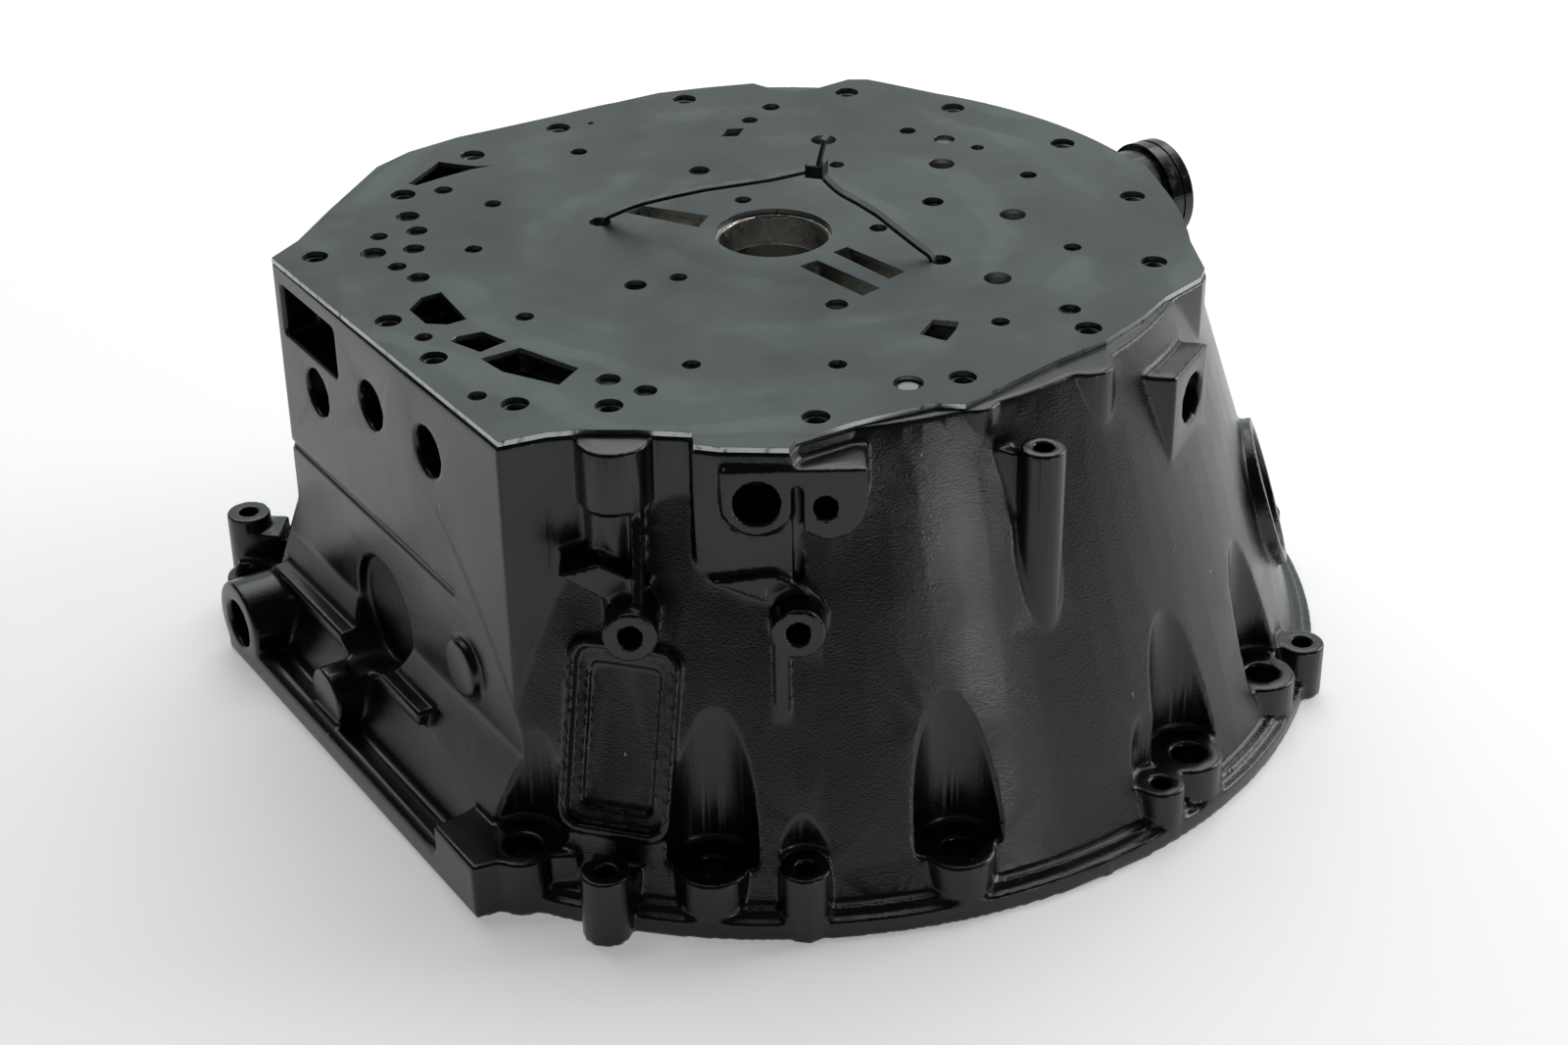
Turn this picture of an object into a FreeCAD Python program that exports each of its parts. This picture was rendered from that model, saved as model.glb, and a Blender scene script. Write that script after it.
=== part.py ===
"""Bell housing of an automatic gearbox, with the separator plate tied on its gearbox side.

The frame is the casting's own: the origin is the centre of the engine face, on the axis of
the bore, and +Z runs from the engine face to the gearbox face. The flat side, which looks
towards the oil pan, faces -X. Lengths are in millimetres. Angles are in degrees,
anticlockwise from +X as seen from above.
"""
import FreeCAD
import Part

import math
import os

V = FreeCAD.Vector
UP = V(0, 0, 1)

# Driving dimensions: alias, value, meaning.
SIZES = (
    ("flange_radius", 210.0, "outer radius of the engine flange"),
    ("flange_height", 7.0, "thickness of the engine flange at its rim"),
    ("step_setback", 3.8, "how far the raised step lies inside the rim"),
    ("step_height", 2.5, "height of the step above the rim"),
    ("flat_offset", 193.5, "distance from the axis to the flange's flat side"),
    ("housing_height", 164.0, "engine face to the gearbox face"),
    ("cone_foot_radius", 205.6, "bell's outer radius at the engine face"),
    ("cone_top_radius", 152.8, "bell's outer radius at the gearbox face"),
    ("wall", 6.0, "wall of the casting"),
    ("deck_thickness", 16.0, "thickness of the gearbox face"),
    ("deck_overhang", 0.8, "how far the gearbox face stands out past the plate"),
    ("skirt_drop", 104.0, "how far the corner walls run down below the gearbox face"),
    ("pan_offset", 163.5, "distance from the axis to the pan-side wall"),
    ("pan_flare", 22.5, "how far the pan-side wall flares out at its foot"),
    ("pan_flare_height", 46.0, "height at which that flare starts"),
    ("bore_radius", 20.3, "machined centre bore"),
    ("hub_radius", 41.0, "hub round the centre bore"),
    ("hub_drop", 12.0, "how far the hub runs down below the gearbox face's underside"),
    ("bolt_circle", 197.0, "radius of the engine bolt circle"),
    ("bolt_hole_radius", 6.0, "clearance holes for the engine bolts"),
    ("pad_height", 21.5, "top of the engine bolt pads"),
    ("pad_radius", 12.5, "engine bolt pads"),
    ("scallop_radius", 15.5, "tool room cut in the bell above each engine bolt"),
    ("lug_radius", 8.6, "lugs with a threaded hole, round the engine flange"),
    ("lug_hole_radius", 3.6, "core hole of those threads"),
    ("lug_height", 26.0, "top of those lugs"),
    ("slide_angle", 238.0, "direction in which the front wall's bosses face"),
    ("boss_reach", 183.0, "distance from the axis to the faces of the two front bosses"),
    ("boss_level", 104.6, "height of the two front bosses"),
    ("boss_radius", 9.2, "the two front bosses"),
    ("boss_hole_radius", 4.0, "their threaded holes"),
    ("port_reach", 170.0, "distance from the axis to the face of the oil port pad"),
    ("port_level", 146.6, "height of the large oil port"),
    ("port_radius", 7.7, "large oil port"),
    ("port_lobe_radius", 11.9, "pad round the large oil port"),
    ("window_radius", 24.0, "round opening in the bell's right side"),
    ("window_rim", 5.0, "width of the raised rim round that opening"),
    ("window_level", 60.0, "height of that opening's centre"),
    ("tall_boss_top", 153.4, "top of the tall threaded boss"),
    ("tall_boss_radius", 7.6, "tall threaded boss"),
    ("thread_depth", 16.0, "depth of the blind threaded holes"),
    ("plate_thickness", 2.0, "separator plate"),
    ("plate_bore_radius", 21.8, "centre hole of the separator plate"),
    ("inner_ring", 66.1, "radius of the inner ring of holes in the plate"),
    ("middle_ring", 91.0, "radius of the middle ring of holes in the plate"),
    ("outer_ring", 111.0, "radius of the outer ring of holes in the plate"),
    ("inner_ring_hole", 4.1, "hole radius in the inner ring"),
    ("middle_ring_hole", 5.0, "hole radius in the middle ring"),
    ("outer_ring_hole", 3.3, "hole radius in the outer ring"),
    ("rim_hole", 4.8, "radius of the case bolt holes along the plate's edge"),
    ("pin_radius", 3.9, "locating pins"),
    ("pin_height", 10.0, "length of the locating pins"),
    ("tie_width", 4.6, "width of the cable tie's strap"),
    ("tie_thickness", 1.4, "thickness of the strap"),
    ("tie_head", 7.0, "size of the cable tie's head"),
    ("cap_radius", 20.6, "outer radius of the shaft cap"),
    ("cap_length", 12.0, "length of the shaft cap"),
    ("cap_wall", 1.8, "wall of the shaft cap"),
    ("seat_gap", 0.3, "clearance round a piece that sits in or on another"),
)

# Outer edge of the separator plate, anticlockwise. A third number makes the stretch up to
# that point a curve, which passes the axis at that distance.
PLATE_EDGE = (
    (-162.0, -87.0), (-146.0, -90.0), (-137.0, -94.0), (-121.0, -105.0), (-106.7, -117.0),
    (-110.6, -124.0), (-104.7, -130.4), (-86.6, -143.6), (-81.5, -140.0), (-59.0, -140.4),
    (-30.0, -145.0), (-22.0, -151.0), (22.5, -142.7), (46.0, -140.0), (68.0, -133.0),
    (84.0, -125.5), (105.0, -120.0), (111.0, -115.0), (122.0, -94.0), (147.0, -46.0, 153.5),
    (154.3, -28.0), (152.5, -21.0), (131.0, 78.6, 153.0), (120.0, 101.5), (116.5, 108.0),
    (110.0, 112.5), (92.0, 111.5), (84.0, 114.0), (78.5, 121.0), (75.0, 131.6),
    (56.0, 139.0), (37.0, 145.0), (-24.0, 148.0), (-54.0, 150.0), (-77.0, 147.5),
    (-94.0, 141.0), (-128.0, 113.0), (-149.0, 94.5), (-163.6, 86.0),
)

# Case bolt holes along the plate's edge: x, y.
RIM_BOLTS = (
    (-150.0, 77.7), (-97.8, 110.6), (-57.7, 130.0), (-16.0, 135.3), (42.1, 132.8),
    (101.2, 100.7), (127.1, 61.7), (140.8, 6.5), (130.5, -49.8), (99.6, -100.2),
    (46.3, -129.5), (-11.4, -134.9), (-67.7, -130.7), (-119.6, -85.4), (-144.7, -66.7),
    (-151.5, -21.0), (-151.5, 14.0),
)
# Angles of the holes in the three rings.
INNER_RING_ANGLES = (136.8, 83.0, -9.4, -56.1, -103.0, -171.1)
TIE_ANGLES = (136.8, -56.1)
MIDDLE_RING_ANGLES = (44.4, 10.8, -24.4, -60.6)
OUTER_RING_ANGLES = (153.0, 131.5, 101.1, 62.1, 28.1, 19.3, -5.7, -41.5, -77.4, -111.5,
                     -137.3, -174.6)
# Oil passages through the plate: x, y, radius.
PASSAGES = (
    (-105.6, 91.0, 4.5), (-122.7, 80.5, 3.3), (-108.7, 77.1, 4.0), (-131.0, 68.3, 4.8),
    (-116.9, 63.2, 4.0), (-129.0, 52.7, 3.5), (-126.8, 39.8, 4.1), (-83.1, 105.6, 3.6),
    (-147.2, -4.8, 3.2), (-152.4, -54.5, 3.3), (-110.5, -69.0, 4.3), (-104.2, -83.0, 4.0),
    (-49.3, -13.4, 3.3), (6.8, 31.8, 3.2), (34.4, -18.9, 3.4), (66.7, 105.1, 3.6),
    (50.2, -114.1, 3.9), (110.6, 22.3, 2.6), (55.2, 39.8, 3.0), (-2.7, 132.2, 1.3),
)
# Holes that show the head of a locating pin: x, y, radius.
PIN_HOLES = ((-28.8, -128.0, 5.2), (104.8, 36.7, 4.2))
# Windows in the plate over the oil channels.
WINDOWS = {
    "hook": ((-91.4, 119.0), (-89.5, 115.6), (-76.0, 117.0), (-65.0, 117.5), (-55.6, 116.2),
             (-61.7, 119.3), (-67.7, 126.3), (-71.7, 131.7)),
    "valve_rear": ((-141.7, 4.3), (-135.7, -0.7), (-128.3, -0.7), (-125.6, 24.2),
                   (-133.4, 24.3), (-141.5, 17.8)),
    "valve_middle": ((-141.0, -12.8), (-136.3, -26.3), (-124.9, -24.0), (-128.2, -12.5),
                     (-137.7, -11.0)),
    "valve_front": ((-138.6, -30.7), (-137.0, -43.7), (-126.0, -63.0), (-114.5, -56.0),
                    (-123.5, -31.0)),
    "feed_left": ((-35.9, 47.0), (-20.3, 19.8), (-11.9, 26.6), (-27.5, 48.9)),
    "feed_right": ((8.6, -27.2), (12.4, -57.6), (20.5, -55.9), (15.4, -26.3)),
    "feed_front": ((-8.1, -30.4), (-3.4, -64.0), (5.3, -62.2), (-0.1, -29.8)),
    "drain": ((-4.3, -100.0), (-1.5, -106.9), (0.2, -109.7), (7.5, -104.8), (12.2, -100.4),
              (5.9, -93.6)),
    "almond": ((33.2, 90.0), (39.0, 86.6), (45.4, 92.0), (39.6, 95.2)),
}
CHANNEL_MARGIN = 2.5
CHANNEL_DEPTH = 9.0

# Engine bolts, by angle; the one at the pan side's front corner stands further out.
ENGINE_BOLTS = (-129.4, -104.8, -75.2, -57.2, -21.0, 12.0, 46.0, 75.2, 104.8, 128.0)
CORNER_BOLT = (-172.7, -105.5)
REAR_BOLT = (-173.6, 112.0)
# Threaded lugs: angle, distance from the axis, height above the usual lug top.
LUGS = ((-138.8, 212.1, 0.0), (-120.4, 203.5, 0.0), (-81.2, 201.6, -4.5), (-49.8, 206.8, -4.5),
        (30.0, 206.8, -4.5), (101.0, 203.5, 0.0), (142.6, 212.1, 14.0))


def read_sizes(document):
    """Write the driving dimensions to a spreadsheet and return them by name."""
    sheet = document.addObject("Spreadsheet::Sheet", "sizes")
    for row, (alias, value, meaning) in enumerate(SIZES, start=1):
        sheet.set(f"A{row}", alias)
        sheet.set(f"B{row}", str(value))
        sheet.set(f"C{row}", meaning)
        sheet.setAlias(f"B{row}", alias)
    document.recompute()
    return {alias: float(sheet.get(alias)) for alias, _, _ in SIZES}


doc = FreeCAD.newDocument("gearbox_housing")
S = read_sizes(doc)

# Values that follow from the sheet.
DECK_TOP = S["housing_height"]
DECK_UNDERSIDE = DECK_TOP - S["deck_thickness"]
PLATE_TOP = DECK_TOP + S["plate_thickness"]
STEP_TOP = S["flange_height"] + S["step_height"]
HUB_BOTTOM = DECK_UNDERSIDE - S["hub_drop"]
CONE_SLOPE = (S["cone_foot_radius"] - S["cone_top_radius"]) / DECK_TOP
CONE_TILT = math.degrees(math.atan(CONE_SLOPE))
CLEAR = 1.0


def add(kind, name, **expressions):
    """Add a document object whose properties are bound to the sheet by expressions."""
    item = doc.addObject(kind, name)
    for prop, expression in expressions.items():
        item.setExpression(prop.replace("_at_", "Placement.Base."), expression)
    return item


def keep(name, shape):
    """Put a shape built with Part's functions into the document."""
    item = doc.addObject("Part::Feature", name)
    item.Shape = shape
    return item


def join(name, items):
    """Fuse document objects into one."""
    fuse = doc.addObject("Part::MultiFuse", name)
    fuse.Shapes = items
    return fuse


def cut(name, base, tool):
    """Subtract one document object from another."""
    result = doc.addObject("Part::Cut", name)
    result.Base = base
    result.Tool = tool
    return result


def polar(radius, angle, height=0.0):
    """Point at a distance from the axis, an angle and a height."""
    return V(radius * math.cos(math.radians(angle)), radius * math.sin(math.radians(angle)), height)


def cylinder(radius, start, end):
    """Round bar between two points."""
    run = end - start
    return Part.makeCylinder(radius, run.Length, start, run)


def post(radius, place, bottom, top):
    """Upright round bar over the point place."""
    return Part.makeCylinder(radius, top - bottom, V(place.x, place.y, bottom), UP)


def prism(points, bottom, top):
    """Upright prism over a polygon of (x, y) points."""
    corners = [V(x, y, bottom) for x, y in points]
    return Part.Face(Part.makePolygon(corners + corners[:1])).extrude(V(0, 0, top - bottom))


def side_prism(points, near, far):
    """Prism along Y over a polygon of (x, z) points."""
    corners = [V(x, near, z) for x, z in points]
    return Part.Face(Part.makePolygon(corners + corners[:1])).extrude(V(0, far - near, 0))


def slide_point(across, reach, height):
    """Point of the front wall: across it to the right, out from the axis, and up."""
    out = polar(reach, S["slide_angle"])
    along = polar(across, S["slide_angle"] + 90.0)
    return V(out.x + along.x, out.y + along.y, height)


def slide_prism(points, back, front):
    """Prism towards the front wall over a polygon of (across, height) points."""
    corners = [slide_point(across, back, height) for across, height in points]
    run = slide_point(0, front, 0) - slide_point(0, back, 0)
    return Part.Face(Part.makePolygon(corners + corners[:1])).extrude(run)


def on_wall(shape, angle, height):
    """Move a shape drawn about the origin onto the bell, its +Z straight out of the wall.

    Its +X then runs round the bell and its +Y up the wall's slope.
    """
    radius = S["cone_foot_radius"] - CONE_SLOPE * height
    turned = shape.copy()
    lean = FreeCAD.Rotation(V(1, 0, 0), 90.0 - CONE_TILT)
    face = FreeCAD.Rotation(UP, angle + 90.0)
    turned.Placement = FreeCAD.Placement(polar(radius, angle, height), face.multiply(lean))
    return turned


def edge_wire(points, height):
    """Closed wire through outline points, with the curved stretches as arcs."""
    edges = []
    previous = points[-1]
    for point in points:
        start = V(previous[0], previous[1], height)
        end = V(point[0], point[1], height)
        if len(point) == 3:
            middle = (start + end) * 0.5
            middle.z = 0
            crown = middle * (point[2] / middle.Length)
            edges.append(Part.Arc(start, V(crown.x, crown.y, height), end).toShape())
        else:
            edges.append(Part.makeLine(start, end))
        previous = point
    return Part.Wire(edges)


def deck_face(growth, height):
    """Outline of the gearbox face, grown or shrunk from the plate's edge."""
    face = Part.Face(edge_wire(PLATE_EDGE, height))
    return Part.Face(face.OuterWire.makeOffset2D(growth, join=2))


def pan_side(inset, bottom):
    """What lies outside the pan-side wall, as a block to cut away."""
    foot = -S["pan_offset"] - S["pan_flare"] + inset
    knee = -S["pan_offset"] + inset
    far = -2 * S["flange_radius"]
    top = DECK_TOP + CLEAR
    profile = ((far, bottom), (foot, bottom), (knee, S["pan_flare_height"]), (knee, top), (far, top))
    return side_prism(profile, -2 * S["flange_radius"], 2 * S["flange_radius"])


def engine_bolt_places():
    """Every engine bolt's place on the flange."""
    places = [polar(S["bolt_circle"], angle) for angle in ENGINE_BOLTS]
    return places + [V(*CORNER_BOLT, 0), V(*REAR_BOLT, 0)]


def lug_places():
    """Place and top of every threaded lug on the flange."""
    return [(polar(reach, angle), S["lug_height"] + extra) for angle, reach, extra in LUGS]


# ---------------------------------------------------------------- bell housing, outside

def bell_skirt():
    """Walls that drop straight from the gearbox face where it stands out past the bell."""
    face = deck_face(S["deck_overhang"], DECK_TOP - S["skirt_drop"])
    return face.extrude(V(0, 0, S["skirt_drop"]))


def scallops():
    """Tool room above the engine bolts, cut upright into the sloping bell."""
    tools = []
    for place in engine_bolt_places():
        tools.append(post(S["scallop_radius"], place, S["pad_height"], DECK_TOP / 2 + 20))
    for place, top in lug_places():
        tools.append(post(S["lug_radius"] + 2.0, place, top, top + 30))
    return tools[0].multiFuse(tools[1:])


def flange_bosses():
    """Bolt pads and threaded lugs round the engine flange."""
    bosses = []
    for place in engine_bolt_places():
        bosses.append(post(S["pad_radius"], place, 0.0, S["pad_height"]))
    for place, top in lug_places():
        bosses.append(post(S["lug_radius"], place, 0.0, top))
        inward = place * ((place.Length - 14.0) / place.Length)
        bosses.append(web(place, inward, 2 * S["lug_radius"], 0.0, top - 6.0))
    flat = -S["flat_offset"]
    bosses.append(prism(((flat, -79.0), (flat, -108.5), (-178.0, -111.5), (-160.0, -122.0),
                         (-158.0, -100.0), (-172.0, -76.0)), 0.0, S["pad_height"]))
    bosses.append(prism(((flat, 80.0), (-172.0, 80.0), (-160.0, 104.0), (-160.0, 124.0),
                         (-181.0, 112.0), (flat, 100.0)), 0.0, S["pad_height"]))
    return bosses


def web(start, end, width, bottom, top):
    """Upright wall between two places."""
    run = V(end.x - start.x, end.y - start.y, 0)
    side = V(-run.y, run.x, 0) * (width / (2 * run.Length))
    corners = [start + side, start - side, end - side, end + side]
    return prism([(corner.x, corner.y) for corner in corners], bottom, top)


def front_bosses():
    """The two threaded bosses that face out of the front wall, with their ribs and webs."""
    level = S["boss_level"]
    reach = S["boss_reach"]
    radius = S["boss_radius"]
    back = reach - 40.0
    solids = []
    for across in (-50.3, 4.8):
        solids.append(cylinder(radius, slide_point(across, back, level),
                               slide_point(across, reach, level)))
    solids.append(slide_prism(((1.2, level), (1.2, 66.0), (-3.4, 66.0), (-3.4, level)), back, reach))
    solids.append(slide_prism(((-50.0, level + 6), (-56.5, level + 6), (-74.0, level + 17),
                               (-60.0, level + 21), (-43.0, level + 12)), back, reach - 12.0))
    solids.append(slide_prism(((4.0, level + 6), (-2.0, level + 5), (-25.0, level + 13),
                               (-3.0, level + 16), (9.0, level + 9)), back, reach - 12.0))
    return solids + [rising_rib(-47.5, level + 5.0, DECK_TOP - 18.0)]


def rising_rib(across, bottom, top):
    """Rib from a front boss up the wall, ending flush with it."""
    half = 1.8
    foot = [slide_point(across - half, S["boss_reach"] - 1.0, bottom),
            slide_point(across - half, 140.0, bottom), slide_point(across - half, 140.0, top),
            slide_point(across - half, 160.0, top)]
    side = Part.Face(Part.makePolygon(foot + foot[:1]))
    return side.extrude(slide_point(2 * half, 0, 0) - slide_point(0, 0, 0))


def port_pad():
    """Machined pad just below the gearbox face: a round lobe and a square one."""
    level = S["port_level"]
    lobe = S["port_lobe_radius"]
    back = S["port_reach"] - 45.0
    front = S["port_reach"]
    top = DECK_TOP - 5.0
    left = cylinder(lobe, slide_point(-8.1, back, level), slide_point(-8.1, front, level))
    right = cylinder(lobe, slide_point(15.5, back, level - 2.0), slide_point(15.5, front, level - 2.0))
    bridge = slide_prism(((-8.1 - lobe, level), (-8.1 - lobe, top), (28.0, top), (28.0, level - 2.0)),
                         back, front)
    return [left, right, bridge]


def port_slot():
    """Slot that parts the two lobes of the port pad."""
    level = S["port_level"]
    return slide_prism(((3.2, level - 30.0), (3.2, level + 6.0), (7.0, level + 6.0),
                        (7.0, level - 30.0)), S["port_reach"] - 6.0, S["port_reach"] + CLEAR)


def column_bosses():
    """Upright half-round columns on the bell: the tall threaded boss and the shorter ones."""
    tall = polar(170.5, -91.4)
    top = S["tall_boss_top"]
    radius = S["tall_boss_radius"]
    solids = [post(radius, tall, DECK_TOP / 2 - 20.0, top)]
    solids.append(web(tall, polar(150.0, -96.0), 5.0, DECK_TOP / 2, top - 4.0))
    solids.append(post(8.0, polar(148.0, -96.0), 152.0, DECK_TOP))
    solids.append(post(10.0, polar(149.5, -77.5), 143.0, DECK_TOP))
    solids.append(post(12.5, slide_point(-54.5, 154.0, 0), 141.0, DECK_TOP))
    solids.append(post(9.0, slide_point(-56.0, 154.5, 0), 118.0, DECK_TOP))
    return solids


def bracket():
    """Three-cornered lug with a cross hole, under the gearbox face on the right."""
    facing = -60.7
    reach = 166.9
    across = polar(1.0, facing + 90.0)
    out = polar(1.0, facing)
    front_edge = out * reach + across * -18.0
    rear_edge = out * reach + across * 14.0
    root = polar(140.0, -72.0)
    corners = [(p.x, p.y) for p in (front_edge, rear_edge, polar(146.0, -58.0), root)]
    block = prism(corners, 118.0, 151.0)
    eye = out * (reach + CLEAR)
    return block, cylinder(9.0, V(eye.x, eye.y, 135.3), V(eye.x, eye.y, 135.3) - out * 14.0)


def side_window():
    """Raised rim of the round opening, and the opening itself."""
    outer = S["window_radius"] + S["window_rim"]
    rim = Part.makeCylinder(outer, 18.0, V(0, 0, -14.0))
    hole = Part.makeCylinder(S["window_radius"], 40.0, V(0, 0, -25.0))
    level = S["window_level"]
    return on_wall(rim, -37.0, level), on_wall(hole, -37.0, level)


def pan_side_details():
    """Bosses, ledge and ear on the pan-side wall."""
    wall_x = -S["pan_offset"]
    flat = -S["flat_offset"]
    large = cylinder(17.0, V(flat, 88.0, 17.0), V(wall_x + 20.0, 88.0, 17.0))
    small = cylinder(12.0, V(flat + 5.0, 19.0, 18.0), V(wall_x, 19.0, 18.0))
    ledge = web(V(wall_x - 6.0, 92.0, 0), V(wall_x - 6.0, -34.0, 0), 12.0, 30.0, 36.0)
    ear = cylinder(11.0, V(wall_x - 3.5, -53.0, 62.0), V(wall_x + 4.0, -53.0, 62.0))
    bead = cylinder(4.0, V(flat + 4.0, -82.0, STEP_TOP - 2.0), V(flat + 4.0, 82.0, STEP_TOP - 2.0))
    return [large, small, ledge, ear, bead]


def cap_stub():
    """Round stub on the far side, which carries the shaft cap."""
    inner = S["cap_radius"] - S["cap_wall"] - S["seat_gap"]
    start = V(CAP_SEAT.x - 60.0, CAP_SEAT.y, CAP_SEAT.z)
    return cylinder(inner, start, CAP_SEAT)


CAP_SEAT = V(181.0, -6.0, 141.0)


# ---------------------------------------------------------------- bell housing, inside

def hollow():
    """Inside of the bell, open at the engine face, without what is left standing in it."""
    shell = S["wall"] / math.cos(math.radians(CONE_TILT))
    top = DECK_UNDERSIDE
    foot = S["cone_foot_radius"] - shell + CONE_SLOPE * CLEAR
    room = Part.makeCone(foot, S["cone_foot_radius"] - shell - CONE_SLOPE * top, top + CLEAR,
                         V(0, 0, -CLEAR))
    corners = deck_face(-S["wall"], -CLEAR).extrude(V(0, 0, top + CLEAR))
    room = room.fuse(corners).cut(pan_side(S["wall"], -2 * CLEAR))
    return room.cut(left_standing())


def left_standing():
    """Hub, ribs and the inner sides of everything that is cut or drilled into the bell."""
    wall = S["wall"]
    solids = [post(S["hub_radius"], V(0, 0, 0), HUB_BOTTOM, DECK_TOP)]
    for place in engine_bolt_places():
        solids.append(post(S["scallop_radius"] + wall, place, -CLEAR * 3, 100.0))
    for place, top in lug_places():
        solids.append(post(S["lug_radius"] + wall, place, -CLEAR * 3, top + 30.0 + wall))
    for x, y in RIM_BOLTS:
        solids.append(post(S["rim_hole"] + wall * 0.7, V(x, y, 0), DECK_TOP - 30.0, DECK_TOP))
    for index in range(8):
        angle = 22.5 + 45.0 * index
        solids.append(web(polar(S["hub_radius"] - 3.0, angle), polar(160.0, angle), wall,
                          DECK_UNDERSIDE - 10.0, DECK_TOP))
    solids.append(slide_prism(((-22.0, 128.0), (-22.0, 166.0), (30.0, 166.0), (30.0, 128.0)), 130.0, 190.0))
    for across in (-50.3, 4.8):
        solids.append(cylinder(S["boss_radius"] + 1.0, slide_point(across, 150.0, S["boss_level"]),
                               slide_point(across, 190.0, S["boss_level"])))
    for y, z in PAN_PORTS:
        solids.append(cylinder(PAN_PORT_RADIUS + wall * 0.7, V(-S["pan_offset"], y, z),
                               V(-S["pan_offset"] + 26.0, y, z)))
    solids.append(Part.makeBox(22.0, 58.0, 40.0, V(-S["pan_offset"], 29.0, 128.0)))
    solids.append(cylinder(28.0, V(-S["pan_offset"] - 12.0, 14.0, 50.0),
                           V(-S["pan_offset"] + 12.0, 14.0, 50.0)))
    solids.append(on_wall(Part.makeBox(46.0, 76.0, 30.0, V(-23.0, -38.0, -11.0)), *POCKET_PLACE))
    return solids[0].multiFuse(solids[1:])


PAN_PORTS = ((56.0, 123.0), (9.0, 138.0), (-34.5, 139.0))
PAN_PORT_RADIUS = 9.2
POCKET_PLACE = (-139.5, 61.0)


def wall_pocket():
    """Rectangular blank on the front wall: two shallow steps inside a rounded frame."""
    outer = Part.makeBox(34.0, 62.0, 12.0, V(-17.0, -31.0, -2.0))
    inner = Part.makeBox(25.0, 51.0, 12.0, V(-12.5, -25.5, -4.5))
    frame = outer.makeFillet(5.0, [e for e in outer.Edges if abs(e.tangentAt(0).z) > 0.9])
    well = inner.makeFillet(2.5, [e for e in inner.Edges if abs(e.tangentAt(0).z) > 0.9])
    return on_wall(frame.fuse(well), *POCKET_PLACE)


def wall_pocket_frame():
    """Raised frame round the rectangular blank."""
    block = Part.makeBox(40.0, 68.0, 9.0, V(-20.0, -34.0, -7.0))
    return on_wall(block.makeFillet(7.0, [e for e in block.Edges if abs(e.tangentAt(0).z) > 0.9]),
                   *POCKET_PLACE)


def drilled_holes():
    """Every round hole in the casting."""
    depth = S["thread_depth"]
    tools = [post(S["bore_radius"], V(0, 0, 0), 0.0, DECK_TOP + CLEAR)]
    for place in engine_bolt_places():
        tools.append(post(S["bolt_hole_radius"], place, -CLEAR, S["pad_height"] + CLEAR))
    for place, top in lug_places():
        tools.append(post(S["lug_hole_radius"], place, top - depth, top + CLEAR))
    for x, y in RIM_BOLTS:
        tools.append(post(S["rim_hole"] - 1.2, V(x, y, 0), DECK_TOP - depth, DECK_TOP + CLEAR))
    for angle in OUTER_RING_ANGLES:
        place = polar(S["outer_ring"], angle)
        tools.append(post(S["outer_ring_hole"] - 0.7, place, DECK_UNDERSIDE + 4, DECK_TOP + CLEAR))
    for angle in INNER_RING_ANGLES:
        bottom = DECK_UNDERSIDE - CLEAR if angle in TIE_ANGLES else DECK_UNDERSIDE + 4.0
        tools.append(post(S["inner_ring_hole"], polar(S["inner_ring"], angle), bottom, DECK_TOP + CLEAR))
    for angle in MIDDLE_RING_ANGLES:
        place = polar(S["middle_ring"], angle)
        tools.append(post(S["middle_ring_hole"] + 2.0, place, DECK_TOP - 3.5, DECK_TOP + CLEAR))
    for x, y, radius in PIN_HOLES:
        tools.append(post(S["pin_radius"] + S["seat_gap"] / 2, V(x, y, 0), DECK_TOP - S["pin_height"],
                          DECK_TOP + CLEAR))
    for across in (-50.3, 4.8):
        tools.append(cylinder(S["boss_hole_radius"], slide_point(across, S["boss_reach"] + CLEAR, S["boss_level"]),
                              slide_point(across, S["boss_reach"] - depth, S["boss_level"])))
    level = S["port_level"]
    tools.append(cylinder(S["port_radius"], slide_point(-8.1, S["port_reach"] + CLEAR, level),
                          slide_point(-8.1, S["port_reach"] - 25.0, level)))
    tools.append(cylinder(S["boss_hole_radius"], slide_point(14.3, S["port_reach"] + CLEAR, level - 2),
                          slide_point(14.3, S["port_reach"] - depth, level - 2)))
    tall = polar(170.5, -91.4)
    tools.append(post(S["boss_hole_radius"] - 0.6, tall, S["tall_boss_top"] - depth, S["tall_boss_top"] + CLEAR))
    for y, z in PAN_PORTS:
        tools.append(cylinder(PAN_PORT_RADIUS, V(-S["pan_offset"] - CLEAR, y, z), V(-S["pan_offset"] + 20.0, y, z)))
    tools.append(cylinder(9.5, V(-S["flat_offset"] - CLEAR, 88.0, 17.0), V(-S["flat_offset"] + 24.0, 88.0, 17.0)))
    return tools


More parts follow.
